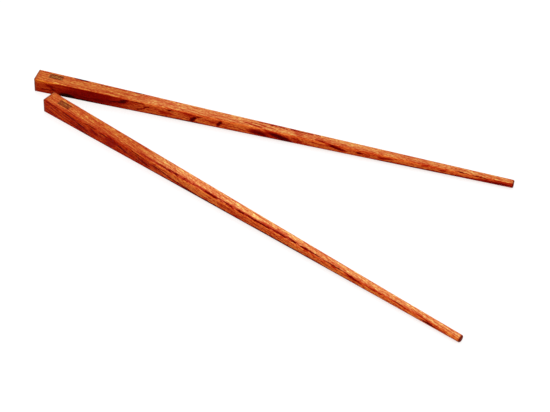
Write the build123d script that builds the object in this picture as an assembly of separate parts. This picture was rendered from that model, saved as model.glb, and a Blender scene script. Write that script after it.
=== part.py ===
from build123d import *
import os
from math import atan, cos, degrees

# A pair of wooden chopsticks laid down side by side with their tips apart. Millimetres.
# Each one is a single length of wood, square at the head and turning round towards the tip.
# +Z is up, +X runs from the heads to the tips along the line midway between the two sticks,
# and the origin is under the middle of the pair, on the surface that they lie on.

# Sizes that the two sticks share
stick_length = 240.0
arris_radius = 0.4      # the four long corners are eased this much where they leave the head
tip_flat = 0.1          # what is left of each flat side at the very tip
head_ease = 0.25        # rounding round the square end
tip_ease = 0.7          # rounding round the thin end

# The far stick
far_head_width = 7.9
far_tip_width = 3.9

# The near stick, a little finer and square for more of its length
near_head_width = 7.7
near_tip_width = 3.5

# How the pair lies
splay_angle = 22.2      # degrees between the two sticks
head_spacing = 11.1     # between the middles of the two heads, across the pair
head_lead = 13.8        # how much nearer to the tips the near head lies, along the pair

# Where the cross-sections stand, as shares of the length from head to tip
station_shares = (0, 0.12, 0.21, 0.3, 0.4, 0.5, 0.6, 0.7, 0.85, 1)

# How far the corners have gone at each station, from the eased arris to the round of the tip
far_rounding_shares = (0, 0.06, 0.17, 0.3, 0.41, 0.5, 0.59, 0.67, 0.82, 1)
near_rounding_shares = (0, 0.06, 0.13, 0.22, 0.3, 0.39, 0.51, 0.65, 0.86, 1)

# An end's rounding stays within this share of the corner radius that it runs round
end_ease_limit_share = 0.85


def width_at(share, head_width, tip_width):
    # the four sides are planed straight, so the width falls evenly
    return head_width + (tip_width - head_width) * share


def corner_radius_at(width, rounding):
    full_round = (width - tip_flat) / 2
    return arris_radius + (full_round - arris_radius) * rounding


def cross_section(share, rounding, head_width, tip_width):
    # a square with rounded corners, centred on the stick's own axis
    width = width_at(share, head_width, tip_width)
    radius = corner_radius_at(width, rounding)
    return Plane.YZ.offset(stick_length * share) * RectangleRounded(width, width, radius)


def with_whole_flats(lofted):
    # the loft leaves a flat side in lengths, and here the lengths that face one way become one plane
    ways = [sign * axis.direction for axis in (Axis.X, Axis.Y, Axis.Z) for sign in (1, -1)]
    skin = [face for face in lofted.faces() if not face.is_planar]
    flats = [face for face in lofted.faces() if face.is_planar]
    for way in ways:
        lengths = [face for face in flats if max(ways, key=face.normal_at().dot) == way]
        edges = [edge for face in lengths for edge in face.edges()]
        outline = [edge for edge in edges if sum(edge.is_same(other) for other in edges) == 1]
        skin.append(Face(Wire(outline)))
    return Solid(Shell(skin))


def ease_end(body, end_face, ease, corner_radius):
    radius = min(ease, corner_radius * end_ease_limit_share)
    return body.fillet(radius, end_face.edges())


def chopstick(head_width, tip_width, rounding_shares):
    # head end at X = 0 and tip along +X, centred on the X axis
    sections = [
        cross_section(share, rounding, head_width, tip_width)
        for share, rounding in zip(station_shares, rounding_shares)
    ]
    # straight rules from section to section keep the four sides flat from head to tip
    body = with_whole_flats(loft(sections, ruled=True))
    head_corner = corner_radius_at(head_width, rounding_shares[0])
    tip_corner = corner_radius_at(tip_width, rounding_shares[-1])
    body = ease_end(body, body.faces().sort_by(Axis.X)[0], head_ease, head_corner)
    body = ease_end(body, body.faces().sort_by(Axis.X)[-1], tip_ease, tip_corner)

    # laid on its underside, which slopes towards the axis by half of the taper
    half_taper = atan((head_width - tip_width) / 2 / stick_length)
    axis_height = head_width / 2 * cos(half_taper)
    return Pos(0, 0, axis_height) * Rot(0, degrees(half_taper), 0) * body


def lay_pair():
    far = chopstick(far_head_width, far_tip_width, far_rounding_shares)
    near = chopstick(near_head_width, near_tip_width, near_rounding_shares)
    far = Pos(0, head_spacing / 2) * Rot(0, 0, splay_angle / 2) * far
    near = Pos(head_lead, -head_spacing / 2) * Rot(0, 0, -splay_angle / 2) * near

    # the origin goes under the middle of the pair
    middle = far.bounding_box().add(near.bounding_box()).center()
    to_origin = Pos(-middle.X, -middle.Y)
    return {"far_chopstick": to_origin * far, "near_chopstick": to_origin * near}


os.makedirs("parts", exist_ok=True)
for name, stick in lay_pair().items():
    export_step(stick, f"parts/{name}.step")
    box = stick.bounding_box()
    print(name, "volume", round(stick.volume, 1), "box", box.min, box.max)
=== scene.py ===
import math
import bpy
import bmesh
from mathutils import Matrix, Vector


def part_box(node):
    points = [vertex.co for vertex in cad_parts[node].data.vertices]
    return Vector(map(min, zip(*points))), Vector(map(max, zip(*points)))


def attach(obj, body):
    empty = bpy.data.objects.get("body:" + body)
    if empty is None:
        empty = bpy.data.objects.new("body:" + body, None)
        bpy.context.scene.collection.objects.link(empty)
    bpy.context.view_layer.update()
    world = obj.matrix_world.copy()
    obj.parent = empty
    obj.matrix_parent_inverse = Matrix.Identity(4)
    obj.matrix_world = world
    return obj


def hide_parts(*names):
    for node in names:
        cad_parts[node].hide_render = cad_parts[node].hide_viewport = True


# A pair of wooden chopsticks. The meshes are in metres and the wood's patterns in millimetres.
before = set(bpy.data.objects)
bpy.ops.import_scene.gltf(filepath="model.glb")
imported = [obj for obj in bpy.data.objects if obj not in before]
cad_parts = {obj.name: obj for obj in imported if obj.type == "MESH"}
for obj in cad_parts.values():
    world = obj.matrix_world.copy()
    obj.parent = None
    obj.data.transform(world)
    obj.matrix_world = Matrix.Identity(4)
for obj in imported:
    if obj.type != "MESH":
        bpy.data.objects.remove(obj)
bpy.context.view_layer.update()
millimetre = 0.001
print("frame loaded:", sorted(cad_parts))


# Form of a stick: a straight tapered square whose four corners grow round towards the tip
stickForm = {
    "length": 0.240,
    "arris": 0.0004,           # corner radius where a corner leaves the head
    "tipFlat": 0.0001,         # what is left of each flat at the tip
    "headEase": 0.00025,       # rounding round the square end
    "tipEase": 0.0007,         # rounding round the thin end
    "bodyRings": 160,
    "easeRings": 5,
    "cornerQuads": 8,
    "flatCuts": 5,
    "capBorder": 0.00012,      # narrow faces inside each end, which keep the end flat to the eye
    "samePlace": 1e-7,         # points nearer than this are in one place
    "stationShares": (0, 0.12, 0.21, 0.3, 0.4, 0.5, 0.6, 0.7, 0.85, 1),
}

# The two sticks. Widths are in metres, and roundingShares say how far the corners have gone from
# arris to round at each station. Colours are 0 to 255, at the head and towards the tip.
# Lengths along a stick and round it are in millimetres. "round" is 0 at the upper edge that
# faces the front, plus on the top and minus down the front. A streak is a start and an end,
# each along and round, then its half thickness and its depth of colour. Zones and flecks are
# given the same way: zones are the wide soft patches, and flecks break into short dark marks.
farStick = {
    "node": "far_chopstick",
    "slot": "far_wood",
    "headWidth": 0.0079,
    "tipWidth": 0.0039,
    "heading": 11.1,           # degrees from +X
    "roundingShares": (0, 0.06, 0.17, 0.3, 0.41, 0.5, 0.59, 0.67, 0.82, 1),
    "seed": 3.0,               # where in the tree its wood was cut
    "topColours": ((206, 108, 48), (222, 130, 70)),
    # painted shade: the sides' colours are redder than the top's, as the sides look in shade
    "sideShadeColours": ((210, 62, 17), (248, 112, 42)),
    "turnsAt": (42, 66),       # where the head's colours turn to the tip's
    "sideBlend": 0.7,          # how far from an edge the top's colour blends into the side's
    "sideContrast": 0.55,      # how much stronger the grain is on the sides than on the top
    # painted light: near the head the sides are painted paler, as if lit, this far down from the top
    "paintedLightRidge": 1.7,          # near the head the sides are paler this far down from the top
    "slant": 0.09,             # how far round the grain drifts for each millimetre along
    "zones": (
        # the next two zones are partly the wood's own dark red and partly painted shade, where the near
        # stick's head keeps light off this side
        (8, -5.0, 48, -2.5, 2.8, 0.9),
        (11, -0.9, 48, -0.9, 0.9, 0.95),
        (109, -3.2, 134, -3.6, 1.4, 0.65),
        (230, -0.9, 243, -0.9, 1.1, 0.7),
    ),
    "zonesOnFront": True,      # they end at the upper edge and leave the top bare
    "streaks": (
        (5, -2.0, 11, -3.0, 0.3, 0.7),
        (8.5, -4.0, 11, -4.6, 0.4, 1.0),
        (2, -5.4, 9, -5.0, 0.2, 0.5),
        # painted shade: the next three streaks darken the lower front edge, where the near stick's head
        # keeps light off it
        (12.5, -6.6, 22, -7.0, 1.3, 1.9),
        (19, -7.0, 30, -7.0, 0.5, 1.2),
        (18, -7.0, 42, -6.8, 0.2, 0.7),
        (38, -4.0, 48, -2.2, 0.45, 0.5),
        (43, -3.6, 49, -0.8, 0.8, 1.0),
        (49, -0.7, 58, -1.0, 0.2, 0.6),
        (52, -6.2, 61, -0.9, 0.25, 0.65),
        (57, -6.0, 77, -5.7, 0.25, 0.8),
        (68, -1.2, 72, -1.3, 0.36, 1.1),
        (63, -3.2, 73, -3.6, 1.0, 0.18),
        (72, -5.7, 87, -5.3, 0.3, 0.9),
        (74, -0.4, 86, -2.2, 1.1, 0.22),
        (80.2, -5.2, 83.6, -2.0, 0.8, 1.2),
        (82, -2.2, 86.5, -1.1, 0.4, 0.9),
        (90, -2.9, 95.5, -2.4, 0.9, 0.2),
        (94.0, -4.8, 96.4, -0.8, 0.7, 1.2),
        (103, 2.6, 118, 0.6, 0.25, 0.4),
        (109, 3.2, 124, 1.3, 0.2, 0.35),
        (139, 1.3, 152, -0.3, 0.3, 0.3),
        (143, 0.3, 155, -1.2, 0.3, 0.35),
        (109, -2.6, 120, -3.4, 1.0, 0.6),
        (113.5, -2.8, 120, -4.0, 0.8, 0.8),
        (118, -0.9, 132.5, -4.6, 1.1, 0.75),
        (122.5, -2.6, 132.5, -4.4, 0.8, 0.9),
        (131, -1.0, 137, -4.0, 1.2, 0.15),
        (132, 3.0, 138, -0.5, 1.2, 0.12),
        (144, 0.3, 149, 0.1, 0.2, 0.9),
        (168, -4.1, 228, -2.6, 0.4, 0.55),
        (149, -0.6, 158.5, -3.0, 0.7, 0.9),
        (154, -2.2, 159, -3.0, 0.6, 0.5),
        (163, -2.0, 167, -2.2, 0.45, 0.8),
        (174, -2.8, 182, -1.2, 0.6, 0.4),
        (195, -1.5, 200, -0.4, 0.6, 0.25),
        (203, -1.5, 208, -1.8, 0.3, 0.5),
        (212, 0.0, 219, -0.3, 0.24, 1.1),
        (219.5, -0.3, 228, -0.7, 0.24, 1.1),
        (219, -2.3, 241, -2.0, 0.6, 0.6),
        (19, 6.9, 27, 6.8, 0.4, 1.2),
        (31, 6.1, 38, 5.6, 0.2, 0.6),
        (50, 6.2, 55, 6.2, 0.3, 0.9),
    ),
    "flecks": (
        (110, 4.2, 150, 3.6, 0.5, 0.5),
    ),
    "markAt": (10.0, 0.9),     # middle of the burnt border, along the top and across it
    "pith": (0, -11.0, -4.0),  # heart of the tree, which the growth rings on the cut ends go round
}
nearStick = {
    "node": "near_chopstick",
    "slot": "near_wood",
    "headWidth": 0.0077,
    "tipWidth": 0.0035,
    "heading": -11.1,
    "roundingShares": (0, 0.06, 0.13, 0.22, 0.3, 0.39, 0.51, 0.65, 0.86, 1),
    "seed": 11.0,
    "topColours": ((206, 100, 43), (241, 152, 88)),
    # painted shade: the sides' colours are redder than the top's, as the sides look in shade
    "sideShadeColours": ((222, 71, 16), (255, 124, 50)),
    "turnsAt": (55, 92),
    "sideBlend": 0.45,
    "sideContrast": 0.85,
    "paintedLightRidge": -3.0,         # its sides have no paler part
    "slant": 0.12,
    "zones": (
        (-40, 0.4, 95, 0.6, 0.7, 0.3),
        (40, 1.0, 170, 0.6, 0.65, 0.6),
        (128, 1.5, 154, 1.3, 0.6, 0.6),
        (172, 0.1, 219, -0.4, 0.5, 0.45),
        (107, -2.2, 145, -2.4, 2.0, 0.12),
        (29, -2.5, 35, -3.2, 1.4, 0.35),
        (39, -2.2, 47, -3.0, 1.9, 0.65),
    ),
    "zonesOnFront": False,
    "streaks": (
        (-3, 0.1, 13, -0.4, 0.3, 0.5),
        (2, -2.4, 16, -4.8, 0.25, 0.5),
        (14, -4.6, 30, -6.2, 0.35, 0.65),
        (-2, -4.6, 12, -6.2, 0.25, 0.6),
        (12, -0.5, 22, -2.4, 0.35, 0.75),
        (20, -2.2, 30, -4.4, 0.4, 0.8),
        (23, -6.8, 33, -6.7, 0.4, 0.9),
        (26, 0.1, 34, 0.0, 0.2, 1.0),
        (35, -0.6, 43, -0.9, 0.22, 1.0),
        (36, -6.5, 46, -6.2, 0.3, 0.9),
        (40, 0.6, 52, -2.4, 0.5, 0.3),
        (44, -1.2, 56, -4.2, 0.35, 0.75),
        (6, -1.4, 20, -3.6, 0.2, 0.5),
        (16, -3.2, 32, -5.4, 0.2, 0.5),
        (28, -1.2, 40, -3.4, 0.2, 0.5),
        (30, -3.4, 46, -5.4, 0.2, 0.5),
        (50, -0.8, 66, -3.0, 0.2, 0.5),
        (52, -3.4, 70, -5.6, 0.25, 0.6),
        (54, 0.1, 67, -1.5, 0.22, 1.0),
        (60, -3.0, 68, -4.2, 0.5, 0.8),
        (66, -1.4, 84, -3.8, 0.25, 0.8),
        (76, -3.4, 100, -4.8, 0.3, 0.8),
        # painted shade: the next two streaks darken the lower front edge, where the stick meets the
        # floor
        (66, -5.8, 126, -4.6, 0.5, 1.5),
        (116, -4.7, 176, -3.6, 0.5, 1.5),
        (160, -3.9, 205, -3.2, 0.35, 0.9),
        (118.5, 1.0, 124, 0.4, 0.25, 0.8),
        (125, 0.5, 133, 0.1, 0.28, 0.9),
        (138, 1.2, 148, 0.8, 0.25, 0.8),
        (155, 1.0, 168, 0.5, 0.2, 1.2),
        (166, 0.4, 182, 0.0, 0.2, 1.2),
        (180, -0.2, 190, -1.4, 0.5, 0.7),
        (189, -0.6, 198, -0.9, 0.2, 0.5),
        (202, 0.2, 214, -0.4, 0.14, 0.6),
        (220, -1.6, 229, -1.8, 0.4, 1.1),
        (214, -0.3, 233, -0.5, 0.6, 0.13),
    ),
    "flecks": (
        (72, 1.0, 98, 0.7, 0.7, 0.55),
        (96, 0.7, 120, 0.4, 0.6, 0.6),
        (114, 0.4, 142, 0.5, 0.5, 0.75),
        (136, 1.0, 164, 0.6, 0.5, 0.8),
    ),
    "markAt": (10.5, 0.1),
    "pith": (0, 6.0, -9.0),
}


def widthAt(along, stick):
    share = along / stickForm["length"]
    return stick["headWidth"] + (stick["tipWidth"] - stick["headWidth"]) * share


def cornerRadiusAt(along, stick):
    # the radius runs straight from one station to the next
    share = along / stickForm["length"]
    stations = stickForm["stationShares"]
    after = max(1, sum(station < share for station in stations[:-1]))
    radii = []
    for i in (after - 1, after):
        fullRound = (widthAt(stations[i] * stickForm["length"], stick) - stickForm["tipFlat"]) / 2
        growth = (fullRound - stickForm["arris"]) * stick["roundingShares"][i]
        radii.append(stickForm["arris"] + growth)
    part = (share - stations[after - 1]) / (stations[after] - stations[after - 1])
    return radii[0] + (radii[1] - radii[0]) * part


def ringPlaces():
    # each ring's place along the stick and how far it is drawn in, for the eased ends
    length, count, steps = stickForm["length"], stickForm["bodyRings"], stickForm["easeRings"]
    headEase, tipEase = stickForm["headEase"], stickForm["tipEase"]
    turns = [math.radians(90 * i / steps) for i in range(steps)]
    easing = [(1 - math.cos(turn), 1 - math.sin(turn)) for turn in turns]
    head = [(headEase * back, headEase * inset) for back, inset in easing]
    tip = [(length - tipEase * back, tipEase * inset) for back, inset in reversed(easing)]
    run = length - headEase - tipEase
    body = [(headEase + run * i / count, 0) for i in range(count + 1)]
    return head + body + tip


def makeRing(bm, along, inset, stick):
    # a square whose corners are bevelled round
    size = widthAt(along, stick) / 2 - inset
    place = Matrix.Translation((along, 0, 0)) @ Matrix.Rotation(math.radians(90), 4, "Y")
    square = bmesh.ops.create_grid(bm, x_segments=1, y_segments=1, size=size, matrix=place)
    rounded = bmesh.ops.bevel(
        bm, geom=square["verts"], offset=cornerRadiusAt(along, stick) - inset,
        segments=stickForm["cornerQuads"], profile=0.5, affect="VERTICES", material=-1)
    verts = rounded["verts"]
    return {"face": verts[0].link_faces[0], "edges": list({e for v in verts for e in v.link_edges})}


def makeStickMesh(stick):
    # rounded squares from head to tip, bridged into one closed skin
    bm = bmesh.new()
    rings = [makeRing(bm, along, inset, stick) for along, inset in ringPlaces()]
    bmesh.ops.delete(bm, geom=[ring["face"] for ring in rings[1:-1]], context="FACES_ONLY")
    for ring, following in zip(rings, rings[1:]):
        bmesh.ops.bridge_loops(bm, edges=ring["edges"] + following["edges"])
    # cuts across the four flats, whose edges in a ring have their middles above or beside the axis
    near = stickForm["samePlace"]
    flats = []
    for edge in bm.edges:
        across = edge.verts[1].co - edge.verts[0].co
        middle = (edge.verts[0].co + edge.verts[1].co) / 2
        if abs(across.x) < near and min(abs(middle.y), abs(middle.z)) < near:
            flats.append(edge)
    bmesh.ops.subdivide_edges(bm, edges=flats, cuts=stickForm["flatCuts"], use_grid_fill=True)
    caps = [face for face in bm.faces if len(face.verts) > 4]
    bmesh.ops.inset_individual(bm, faces=caps, thickness=stickForm["capBorder"])
    bmesh.ops.recalc_face_normals(bm, faces=bm.faces)
    return bm


def layStick(bm, stick):
    # on its underside, turned to its heading and moved into the box of the CAD node
    halfTaper = math.atan((stick["headWidth"] - stick["tipWidth"]) / 2 / stickForm["length"])
    place = Matrix.Rotation(math.radians(stick["heading"]), 4, "Z") @ Matrix.Rotation(halfTaper, 4, "Y")
    bmesh.ops.transform(bm, matrix=place, verts=bm.verts)
    low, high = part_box(stick["node"])
    corners = [[pick(v.co[axis] for v in bm.verts) for axis in range(3)] for pick in (min, max)]
    shift = (low + high - Vector(corners[0]) - Vector(corners[1])) / 2
    shift.z = low.z - corners[0][2]
    bmesh.ops.translate(bm, vec=shift, verts=bm.verts)
    return Matrix.Translation(shift) @ place


def makeStick(stick):
    bm = makeStickMesh(stick)
    place = layStick(bm, stick)
    name = stick["node"] + "_wood"
    mesh = bpy.data.meshes.new(name)
    bm.to_mesh(mesh)
    bm.free()
    mesh.shade_smooth()
    piece = bpy.data.objects.new(name, mesh)
    bpy.context.scene.collection.objects.link(piece)
    mesh.materials.append(makeWood(stick, place))
    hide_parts(stick["node"])
    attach(piece, "root")
    print("made", piece.name, "with", len(mesh.polygons), "faces")


# Short ways to place shader nodes
def linear(colour):
    # a colour as screens give it, 0 to 255, in the linear values that shaders use
    steps = [c / 255 for c in colour]
    return tuple(c / 12.92 if c <= 0.04045 else ((c + 0.055) / 1.055) ** 2.4 for c in steps) + (1,)


def addNode(tree, kind, feeds=None, **settings):
    # feeds gives each input, by name or number, a value or another node's output
    made = tree.nodes.new("ShaderNode" + kind)
    for name, value in settings.items():
        setattr(made, name, value)
    for key, value in (feeds or {}).items():
        if isinstance(value, bpy.types.NodeSocket):
            tree.links.new(value, made.inputs[key])
        else:
            made.inputs[key].default_value = value
    return made


def calc(tree, operation, *values):
    return addNode(tree, "Math", dict(enumerate(values)), operation=operation).outputs[0]


def vectorCalc(tree, operation, *values):
    return addNode(tree, "VectorMath", dict(enumerate(values)), operation=operation).outputs[0]


def lengthOf(tree, vector):
    return addNode(tree, "VectorMath", {0: vector}, operation="LENGTH").outputs["Value"]


def blend(tree, amount, first, second, mode="MIX"):
    # a Mix node has its two colours at inputs 6 and 7, and the blended one at output 2
    feeds = {0: amount, 6: first, 7: second}
    return addNode(tree, "Mix", feeds, data_type="RGBA", blend_type=mode).outputs[2]


def ramp(tree, value, low, high, start=0.0, end=1.0):
    # goes smoothly from start to end as the value goes from low to high
    feeds = {"Value": value, "From Min": low, "From Max": high, "To Min": start, "To Max": end}
    return addNode(tree, "MapRange", feeds, interpolation_type="SMOOTHSTEP").outputs[0]


def stretchedNoise(tree, vector, size, detail, roughness=0.5):
    # noise whose grains are as long, thick and deep as size says
    scaled = vectorCalc(tree, "MULTIPLY", vector, [1 / s for s in size])
    return addNode(tree, "TexNoise", {
        "Vector": scaled, "Scale": 1.0, "Detail": detail, "Roughness": roughness})


def bentBy(tree, vector, noise, reach):
    # a place that the noise shifts, by up to half of reach to each side
    centred = vectorCalc(tree, "SUBTRACT", noise.outputs["Color"], (0.5, 0.5, 0.5))
    return vectorCalc(tree, "MULTIPLY_ADD", centred, reach, vector)


def newGroup(name, inputs, outputs):
    tree = bpy.data.node_groups.new(name, "ShaderNodeTree")
    for direction, sockets in (("INPUT", inputs), ("OUTPUT", outputs)):
        for label, kind in sockets.items():
            tree.interface.new_socket(label, in_out=direction, socket_type="NodeSocket" + kind)
    return tree, tree.nodes.new("NodeGroupInput").outputs, tree.nodes.new("NodeGroupOutput").inputs


def giveOut(tree, result, made):
    for name, socket in made.items():
        tree.links.new(socket, result[name])
    return tree


# The look that both sticks share. Lengths are in millimetres, and a depth of colour of 0 leaves
# the stick's own colour as it is.
woodLook = {
    # each layer of the grain: how long, thick and deep its marks are, where its noise starts and
    # ends to show, and how much it deepens the wood's colour
    "layers": {
        "Bands": ((26, 1.3, 3), 0.46, 0.62, 0.20),
        "Lines": ((6, 0.4, 1.2), 0.46, 0.60, 0.26),
        "Flecks": ((1.3, 0.5, 0.6), 0.42, 0.62, 0.26),
        "Fibres": ((3.5, 0.11, 0.3), 0.45, 0.66, 0.12),
        "Pores": ((1.5, 0.1, 0.14), 0.64, 0.72, 0.4),
        # painted sheen: the Sheen layer lays paler patches into the colour
        "Sheen": ((3.2, 1.0, 1.2), 0.50, 0.64, -0.16),
        "Breaks": ((3.0, 0.9, 1.2), 0.42, 0.55, 0.0),
    },
    "layerDetail": 2.0,
    "layerRoughness": 0.6,
    "waveSize": (22, 3.5, 5),    # the long waves that bend the whole grain
    "waveDetail": 1.0,
    "waveReach": (0, 1.6, 0.8),  # and how far they bend it, round the stick and through it
    "seedStep": 37.0,            # how far apart in the tree two seeds lie

    # depth of colour
    "depthTint": (0.41, 0.032, 0.026, 1.0),    # what a depth of 1 leaves of red, green and blue
    "paleness": -0.20,           # where no mark falls
    "topPalest": -0.36,          # no grain makes the top paler than this
    "sidePalest": -0.10,
    # painted shade: the sides darken towards their lower edge, next to the floor
    "lowEdgeShadeDepth": 0.5,         # the sides deepen towards their lower edge
    "lowEdgeShadeHeight": 2.0,        # up to this high above it

    # painted light: the paler part of the sides next to the top, near the head, painted as light that
    # reaches them there
    "paintedLightColour": (250, 100, 26),
    "paintedLightShare": 0.9,
    "paintedLightLift": 0.25,
    "paintedLightRun": (5.0, 14.0),      # along the stick it fades between these
    "paintedLightEdge": (-0.8, 0.6),     # its lower edge fades this far above and below its reach
    "paintedLightHeight": (-0.5, 0.5),   # and it keeps to the stick's upper half

    # veins and patches, each a lens that goes right through the stick
    "streakDepth": 2.4,
    "zoneDepth": 0.85,
    "lensEdge": (0.4, 1.2),      # it fades between these shares of the way to its outline
    "lensSpread": 1.5,           # half width of the outline for each half thickness given above
    "lensThrough": 1000.0,
    "raggedSize": (1.8, 0.5, 1.0),
    "raggedDetail": 3.0,
    "raggedRoughness": 0.6,
    "raggedReach": (4.0, 1.1, 0),    # how far their outlines stray along the stick and round it
    "frontEdge": (-0.3, 0.15),   # where zones that keep to the front fade out
    "veinLines": 0.35,           # the share of a vein's depth that follows the grain's lines

    # cut ends
    "endColour": (140, 56, 25),
    "tipColour": (128, 18, 8),
    "endShare": 0.95,            # how much of the side's colour they hide
    # the head end's colour runs on over the eased edge, where it is partly painted shade
    "headEndRun": (0.05, 0.5),   # from the head, where the cut wood fades into the side's
    "tipEndRun": (1.1, 0.35),    # the same from the tip
    "halfRing": 0.55,            # half the width of a growth ring
    "ringDepth": 0.3,
    "ringEdge": (0.3, 1.0),
    "ringWave": (8, 2.2, 2.2),
    "ringWaveDetail": 2.0,
    "poreSize": (2, 0.15, 0.15),
    "poreDetail": 1.0,
    "poreEdge": (0.60, 0.68),
    "poreDepth": 0.45,
    # painted shade: wood beside the head's end, darkened where its eased edge turns away from the light
    "headEdgeShadeColour": (140, 70, 42),
    "headEdgeShadeShare": 0.7,
    "headEdgeShadeReach": 1.8,

    # burnt border
    "burntColour": (52, 10, 5),
    "markSpacing": 0.9,          # between two lines of the border that run the same way
    "markHalfRun": 3.6,          # from the border's middle to either end of it
    "markRails": 1.35,           # how far each rail lies from the border's middle
    "markLine": 0.16,
    "markEdge": (0.5, 1.3),      # a line fades between these shares of its width
    "markFade": 0.1,             # how softly the border ends
    "markHeights": (2.5, 3.2),   # it shows above these, which is on the top alone

    # surface
    "roughness": 0.42,
    "roughnessSpread": 0.1,      # the grain's lines are rougher by this
    "sheen": 0.03,
    "sheenTint": (1.0, 0.5, 0.2, 1.0),
    "reliefDepth": 0.00003,      # in metres
    "reliefStrength": 0.6,
    "fibreGroove": 0.5,          # how deep each groove is, in relief depths
    "poreGroove": 1.0,
    "burntGroove": 1.5,
}


def makeFacesGroup(look):
    # from the stick's own axes to the grain's: along, round the front edge, and across the layers
    tree, given, result = newGroup(
        "stick faces", {"Vector": "Vector", "Blend": "Float", "Painted Light Ridge": "Float"},
        {"Grain": "Vector", "Along": "Float", "Round": "Float", "Height": "Float",
         "Sides": "Float", "Painted Light": "Float"})
    axes = addNode(tree, "SeparateXYZ", {0: given["Vector"]}).outputs
    around = calc(tree, "ADD", axes["Y"], axes["Z"])
    across = calc(tree, "SUBTRACT", axes["Z"], axes["Y"])
    grain = addNode(tree, "CombineXYZ", {"X": axes["X"], "Y": around, "Z": across}).outputs[0]
    lean = calc(tree, "SUBTRACT", calc(tree, "ABSOLUTE", axes["Y"]), calc(tree, "ABSOLUTE", axes["Z"]))
    sides = ramp(tree, calc(tree, "DIVIDE", lean, given["Blend"]), -1.0, 1.0)
    # painted light: a paler part of the sides next to the top, near the head
    byHead = ramp(tree, axes["X"], *look["paintedLightRun"], 1.0, 0.0)
    reach = calc(tree, "MULTIPLY", byHead, given["Painted Light Ridge"])
    byTop = ramp(tree, calc(tree, "SUBTRACT", lean, reach), *look["paintedLightEdge"], 1.0, 0.0)
    upper = ramp(tree, axes["Z"], *look["paintedLightHeight"])
    pale = calc(tree, "MULTIPLY", calc(tree, "MULTIPLY", sides, byTop), upper)
    return giveOut(tree, result, {
        "Grain": grain, "Along": axes["X"], "Round": around, "Height": axes["Z"],
        "Sides": sides, "Painted Light": pale})


def makeGrainGroup(look):
    # a mask for each layer of the grain, which slants round the stick and waves
    tree, given, result = newGroup(
        "wood grain", {"Vector": "Vector", "Slant": "Float", "Seed": "Float"},
        {name: "Float" for name in look["layers"]})
    axes = addNode(tree, "SeparateXYZ", {0: given["Vector"]}).outputs
    slanted = calc(tree, "MULTIPLY_ADD", axes["X"], given["Slant"], axes["Y"])
    deeper = calc(tree, "MULTIPLY_ADD", given["Seed"], look["seedStep"], axes["Z"])
    grain = addNode(tree, "CombineXYZ", {"X": axes["X"], "Y": slanted, "Z": deeper}).outputs[0]
    wave = stretchedNoise(tree, grain, look["waveSize"], look["waveDetail"])
    bent = bentBy(tree, grain, wave, look["waveReach"])
    layers = {}
    for name, (size, low, high, _) in look["layers"].items():
        noise = stretchedNoise(tree, bent, size, look["layerDetail"], look["layerRoughness"])
        layers[name] = ramp(tree, noise.outputs[0], low, high)
    return giveOut(tree, result, layers)


def makeStreakGroup(look):
    # a long soft-edged lens of darker wood, added to the mask that comes in
    tree, given, result = newGroup(
        "dark streak", {"Vector": "Vector", "Centre": "Vector", "Turn": "Vector",
                        "Half Size": "Vector", "Depth": "Float", "Mask": "Float"}, {"Mask": "Float"})
    lens = addNode(tree, "Mapping", {
        "Vector": given["Vector"], "Location": given["Centre"], "Rotation": given["Turn"],
        "Scale": given["Half Size"]}, vector_type="TEXTURE").outputs[0]
    fade = ramp(tree, lengthOf(tree, lens), *look["lensEdge"], 1.0, 0.0)
    inside = calc(tree, "MULTIPLY", fade, given["Depth"])
    return giveOut(tree, result, {"Mask": calc(tree, "MAXIMUM", inside, given["Mask"])})


def makeMarkGroup(look):
    # a plain burnt border: slanting lines that cross between two rails
    tree, given, result = newGroup(
        "burnt border", {"Vector": "Vector", "Centre": "Vector", "Spacing": "Float",
                         "Half Run": "Float", "Rails": "Float", "Line": "Float"}, {"Mask": "Float"})
    local = vectorCalc(tree, "SUBTRACT", given["Vector"], given["Centre"])
    axes = addNode(tree, "SeparateXYZ", {0: local}).outputs
    lengthways = calc(tree, "ABSOLUTE", axes["X"])
    sideways = calc(tree, "ABSOLUTE", axes["Y"])
    halfGap = calc(tree, "DIVIDE", given["Spacing"], 2.0)
    offRising = calc(tree, "PINGPONG", calc(tree, "ADD", axes["X"], axes["Y"]), halfGap)
    offFalling = calc(tree, "PINGPONG", calc(tree, "SUBTRACT", axes["X"], axes["Y"]), halfGap)
    offRail = calc(tree, "ABSOLUTE", calc(tree, "SUBTRACT", sideways, given["Rails"]))
    nearest = calc(tree, "MINIMUM", calc(tree, "MINIMUM", offRising, offFalling), offRail)
    burn = ramp(tree, calc(tree, "DIVIDE", nearest, given["Line"]), *look["markEdge"], 1.0, 0.0)
    # nothing is burnt past the border's ends or outside its rails
    toEnd = calc(tree, "SUBTRACT", given["Half Run"], lengthways)
    toOutside = calc(tree, "SUBTRACT", calc(tree, "ADD", given["Rails"], given["Line"]), sideways)
    kept = ramp(tree, calc(tree, "MINIMUM", toEnd, toOutside), 0.0, look["markFade"])
    return giveOut(tree, result, {"Mask": calc(tree, "MULTIPLY", burn, kept)})


def makeEndGrainGroup(look):
    # growth rings round a pith outside the stick, and open pores
    tree, given, result = newGroup(
        "end grain", {"Vector": "Vector", "Pith": "Vector", "Half Ring": "Float"},
        {"Rings": "Float", "Pores": "Float"})
    acrossStick = (0, 1, 1)
    fromPith = vectorCalc(tree, "SUBTRACT", given["Vector"], given["Pith"])
    radius = lengthOf(tree, vectorCalc(tree, "MULTIPLY", fromPith, acrossStick))
    wave = stretchedNoise(tree, given["Vector"], look["ringWave"], look["ringWaveDetail"]).outputs[0]
    swing = calc(tree, "PINGPONG", calc(tree, "ADD", radius, wave), given["Half Ring"])
    rings = ramp(tree, calc(tree, "DIVIDE", swing, given["Half Ring"]), *look["ringEdge"])
    holes = stretchedNoise(tree, given["Vector"], look["poreSize"], look["poreDetail"]).outputs[0]
    return giveOut(tree, result, {"Rings": rings, "Pores": ramp(tree, holes, *look["poreEdge"])})


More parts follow.
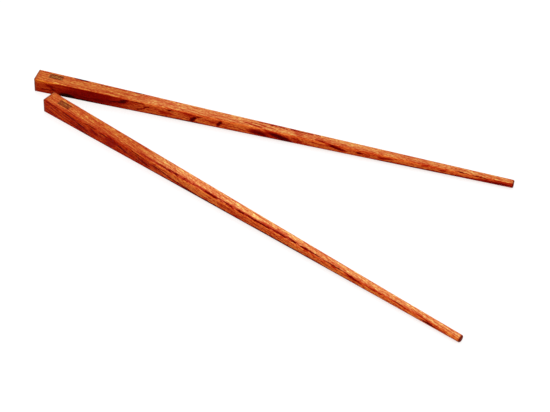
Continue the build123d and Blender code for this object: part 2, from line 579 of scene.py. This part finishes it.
facesGroup = makeFacesGroup(woodLook)
grainGroup = makeGrainGroup(woodLook)
streakGroup = makeStreakGroup(woodLook)
markGroup = makeMarkGroup(woodLook)
endGrainGroup = makeEndGrainGroup(woodLook)
print("shader groups made")


def placeInStick(tree, place):
    # the stick's own axes, in millimetres from the middle of its head
    coords = addNode(tree, "TexCoord").outputs["Object"]
    return addNode(tree, "Mapping", {
        "Vector": coords, "Location": place.translation, "Rotation": place.to_euler(),
        "Scale": (millimetre,) * 3}, vector_type="TEXTURE").outputs[0]


def planedColour(tree, stick, look, faces):
    # planed wood, lighter on the top and redder on the sides; the sides' redder colour is painted
    # shade, the deeper red that they show out of the light
    turned = ramp(tree, faces["Along"], *stick["turnsAt"])
    top = blend(tree, turned, *[linear(c) for c in stick["topColours"]])
    side = blend(tree, turned, *[linear(c) for c in stick["sideShadeColours"]])
    colour = blend(tree, faces["Sides"], top, side)
    # painted light on the sides near the head
    pale = calc(tree, "MULTIPLY", faces["Painted Light"], look["paintedLightShare"])
    return blend(tree, pale, colour, linear(look["paintedLightColour"]))


def grainDepth(tree, stick, look, faces, grain):
    # how deep the grain alone makes the colour
    depth = look["paleness"]
    for layer, (*_, strength) in look["layers"].items():
        depth = calc(tree, "MULTIPLY_ADD", grain[layer], strength, depth)
    contrast = calc(tree, "MULTIPLY_ADD", faces["Sides"], stick["sideContrast"], 1.0)
    depth = calc(tree, "MULTIPLY", depth, contrast)
    onSides = look["sidePalest"] - look["topPalest"]
    palest = calc(tree, "MULTIPLY_ADD", faces["Sides"], onSides, look["topPalest"])
    depth = calc(tree, "MAXIMUM", depth, palest)
    # the painted light also makes the grain paler there
    return calc(tree, "MULTIPLY_ADD", faces["Painted Light"], -look["paintedLightLift"], depth)


def streakFeeds(streak, look):
    x0, y0, x1, y1, thickness, depth = streak
    middle = ((x0 + x1) / 2, (y0 + y1) / 2, 0)
    turn = math.atan2(y1 - y0, x1 - x0)
    halfLength = math.hypot(x1 - x0, y1 - y0) / 2
    halfSize = (halfLength, thickness * look["lensSpread"], look["lensThrough"])
    return {"Centre": middle, "Turn": (0, 0, turn), "Half Size": halfSize, "Depth": depth}


def streakMask(tree, streaks, look, vector):
    mask = 0.0
    for streak in streaks:
        feeds = {"Vector": vector, "Mask": mask, **streakFeeds(streak, look)}
        mask = addNode(tree, "Group", feeds, node_tree=streakGroup).outputs[0]
    return mask


def addVeins(tree, stick, look, faces, grain, depth):
    # zones, streaks and flecks, all with ragged edges
    ragged = stretchedNoise(
        tree, faces["Grain"], look["raggedSize"], look["raggedDetail"], look["raggedRoughness"])
    torn = bentBy(tree, faces["Grain"], ragged, look["raggedReach"])
    zones = streakMask(tree, stick["zones"], look, torn)
    if stick["zonesOnFront"]:
        onFront = ramp(tree, faces["Round"], *look["frontEdge"], 1.0, 0.0)
        zones = calc(tree, "MULTIPLY", zones, onFront)
    depth = calc(tree, "MULTIPLY_ADD", zones, look["zoneDepth"], depth)
    lines = calc(tree, "MULTIPLY_ADD", grain["Lines"], look["veinLines"], 1 - look["veinLines"])
    whole = calc(tree, "MULTIPLY", streakMask(tree, stick["streaks"], look, torn), lines)
    broken = calc(tree, "MULTIPLY", streakMask(tree, stick["flecks"], look, torn), grain["Breaks"])
    veins = calc(tree, "MAXIMUM", whole, broken)
    return calc(tree, "MULTIPLY_ADD", veins, look["streakDepth"], depth)


def addLowEdgeShade(tree, stick, look, faces, depth):
    # painted shade on the sides, darker towards their lower edge by the floor; the underside rises
    # towards the axis as the stick tapers
    taper = (stick["headWidth"] - stick["tipWidth"]) / stickForm["length"]
    atHead = -stick["headWidth"] / 2 / millimetre
    underside = calc(tree, "MULTIPLY_ADD", faces["Along"], taper / 2, atHead)
    height = calc(tree, "SUBTRACT", faces["Height"], underside)
    low = ramp(tree, height, 0.0, look["lowEdgeShadeHeight"], 1.0, 0.0)
    low = calc(tree, "MULTIPLY", low, faces["Sides"])
    return calc(tree, "MULTIPLY_ADD", low, look["lowEdgeShadeDepth"], depth)


def tintOf(tree, look, depth):
    # each whole step of depth multiplies the colour by depthTint once
    return addNode(tree, "Gamma", {"Color": look["depthTint"], "Gamma": depth}).outputs[0]


def burntMask(tree, stick, look, own, faces):
    # burnt border on the top, near the head
    along, across = stick["markAt"]
    mark = addNode(tree, "Group", {
        "Vector": own, "Centre": (along, across, 0), "Spacing": look["markSpacing"],
        "Half Run": look["markHalfRun"], "Rails": look["markRails"], "Line": look["markLine"]},
        node_tree=markGroup).outputs[0]
    return calc(tree, "MULTIPLY", mark, ramp(tree, faces["Height"], *look["markHeights"]))


def addCutEnds(tree, stick, look, own, faces, colour):
    # growth rings and pores in each end's own colour, and painted shade on the wood beside the head's
    # end
    cut = addNode(tree, "Group", {
        "Vector": own, "Pith": stick["pith"], "Half Ring": look["halfRing"]},
        node_tree=endGrainGroup).outputs
    rings = calc(tree, "MULTIPLY", cut["Rings"], look["ringDepth"])
    tint = tintOf(tree, look, calc(tree, "MULTIPLY_ADD", cut["Pores"], look["poreDepth"], rings))
    headEdgeShade = ramp(tree, faces["Along"], 0.0, look["headEdgeShadeReach"], look["headEdgeShadeShare"], 0.0)
    colour = blend(tree, headEdgeShade, colour, linear(look["headEdgeShadeColour"]))
    tipEndRun = [stickForm["length"] / millimetre - left for left in look["tipEndRun"]]
    headEnd = ramp(tree, faces["Along"], *look["headEndRun"], look["endShare"], 0.0)
    tipEnd = ramp(tree, faces["Along"], *tipEndRun, 0.0, look["endShare"])
    for share, ownColour in ((headEnd, look["endColour"]), (tipEnd, look["tipColour"])):
        colour = blend(tree, share, colour, blend(tree, 1.0, linear(ownColour), tint, "MULTIPLY"))
    return colour


def makeRelief(tree, look, grain, burnt):
    # grooves along the fibres, in the pores and where the border is burnt in
    relief = calc(tree, "MULTIPLY", grain["Pores"], -look["poreGroove"])
    relief = calc(tree, "MULTIPLY_ADD", grain["Fibres"], -look["fibreGroove"], relief)
    relief = calc(tree, "SUBTRACT", relief, calc(tree, "MULTIPLY", burnt, look["burntGroove"]))
    bump = addNode(tree, "Bump", {
        "Strength": look["reliefStrength"], "Distance": look["reliefDepth"], "Height": relief})
    return bump.outputs[0]


def makeWood(stick, place):
    material = bpy.data.materials.new(stick["slot"])
    material.use_nodes = True
    tree = material.node_tree
    tree.nodes.clear()
    look = woodLook
    own = placeInStick(tree, place)
    faces = addNode(tree, "Group", {
        "Vector": own, "Blend": stick["sideBlend"], "Painted Light Ridge": stick["paintedLightRidge"]},
        node_tree=facesGroup).outputs
    grain = addNode(tree, "Group", {
        "Vector": faces["Grain"], "Slant": stick["slant"], "Seed": stick["seed"]},
        node_tree=grainGroup).outputs

    depth = grainDepth(tree, stick, look, faces, grain)
    depth = addVeins(tree, stick, look, faces, grain, depth)
    depth = addLowEdgeShade(tree, stick, look, faces, depth)
    colour = planedColour(tree, stick, look, faces)
    colour = blend(tree, 1.0, colour, tintOf(tree, look, depth), "MULTIPLY")
    burnt = burntMask(tree, stick, look, own, faces)
    colour = blend(tree, burnt, colour, linear(look["burntColour"]))
    colour = addCutEnds(tree, stick, look, own, faces, colour)
    roughness = calc(tree, "MULTIPLY_ADD", grain["Lines"], look["roughnessSpread"], look["roughness"])

    surface = addNode(tree, "BsdfPrincipled", {
        "Base Color": colour, "Roughness": roughness, "Normal": makeRelief(tree, look, grain, burnt),
        "Specular IOR Level": look["sheen"], "Specular Tint": look["sheenTint"]})
    output = addNode(tree, "OutputMaterial")
    tree.links.new(surface.outputs[0], output.inputs["Surface"])
    return material


for stick in (farStick, nearStick):
    makeStick(stick)


# Studio: a pale floor, one wide lamp above and behind, and an even pale surround. Metres.
studio = {
    "floorSize": 3.0,
    "floorDrop": 0.00005,        # it lies this far under the object
    "floorColour": 0.15,         # the floor's own grey, which lights the object from below
    # what the camera sees of the floor: a glow and a share of the light that falls on it, which
    # together are white in the open and leave a thin warm shadow beside the object
    "floorGlow": (0.81, 0.70, 0.67, 1.0),
    "floorShade": (0.26, 0.42, 0.46, 1.0),
    "lampPlace": (-0.15, 0.45, 0.9),
    "lampSize": 0.7,
    "lampPower": 0.9,
    "surround": 0.95,            # how bright it is on the object; the camera sees it white
}


def seenRays(tree):
    # the rays that see the background as white: from the camera, and off or through the object
    path = addNode(tree, "LightPath").outputs
    straight = calc(tree, "MAXIMUM", path["Is Camera Ray"], path["Is Transmission Ray"])
    return calc(tree, "MAXIMUM", straight, path["Is Glossy Ray"])


def makeFloor():
    bm = bmesh.new()
    bmesh.ops.create_grid(
        bm, x_segments=1, y_segments=1, size=studio["floorSize"] / 2,
        matrix=Matrix.Translation((0, 0, -studio["floorDrop"])))
    mesh = bpy.data.meshes.new("floor")
    bm.to_mesh(mesh)
    bm.free()
    floor = bpy.data.objects.new("floor", mesh)
    bpy.context.scene.collection.objects.link(floor)
    material = bpy.data.materials.new("floor")
    material.use_nodes = True
    tree = material.node_tree
    tree.nodes.clear()
    plain = addNode(tree, "BsdfDiffuse", {"Color": (studio["floorColour"],) * 3 + (1,)})
    glow = addNode(tree, "Emission", {"Color": studio["floorGlow"]})
    shade = addNode(tree, "BsdfDiffuse", {"Color": studio["floorShade"]})
    seen = addNode(tree, "AddShader", {0: glow.outputs[0], 1: shade.outputs[0]})
    mixed = addNode(tree, "MixShader", {0: seenRays(tree), 1: plain.outputs[0], 2: seen.outputs[0]})
    output = addNode(tree, "OutputMaterial")
    tree.links.new(mixed.outputs[0], output.inputs["Surface"])
    mesh.materials.append(material)


def makeLights():
    light = bpy.data.lights.new("lamp above", "AREA")
    light.size = studio["lampSize"]
    light.energy = studio["lampPower"]
    lamp = bpy.data.objects.new("lamp above", light)
    lamp.location = studio["lampPlace"]
    lamp.rotation_euler = (-lamp.location).to_track_quat("-Z", "Y").to_euler()
    bpy.context.scene.collection.objects.link(lamp)

    world = bpy.data.worlds.new("surround")
    world.use_nodes = True
    bpy.context.scene.world = world
    tree = world.node_tree
    tree.nodes.clear()
    feeds = {"Value": seenRays(tree), "To Min": studio["surround"], "To Max": 1.0}
    strength = addNode(tree, "MapRange", feeds).outputs[0]
    background = addNode(tree, "Background", {"Color": (1, 1, 1, 1), "Strength": strength})
    output = addNode(tree, "OutputWorld")
    tree.links.new(background.outputs[0], output.inputs["Surface"])


# Camera: the photograph's view, as its perspective gives it. Metres and degrees, and the lens in
# millimetres.
view = {
    "aim": (0.01764, -0.01475, 0),
    "distance": 0.735,
    "turn": 23.8,
    "elevation": 43.6,
    "roll": 3.53,
    "lens": 103.68,
}


def makeCamera():
    data = bpy.data.cameras.new("camera")
    data.lens = view["lens"]
    camera = bpy.data.objects.new("camera", data)
    turned = Matrix.Rotation(math.radians(view["turn"]), 4, "Z")
    tilted = Matrix.Rotation(math.radians(90 - view["elevation"]), 4, "X")
    rolled = Matrix.Rotation(math.radians(view["roll"]), 4, "Z")
    back = Matrix.Translation((0, 0, view["distance"]))
    camera.matrix_world = Matrix.Translation(view["aim"]) @ turned @ tilted @ rolled @ back
    bpy.context.scene.collection.objects.link(camera)
    bpy.context.scene.camera = camera


makeFloor()
makeLights()
makeCamera()
bpy.context.scene.view_settings.view_transform = "Standard"
print("studio made")
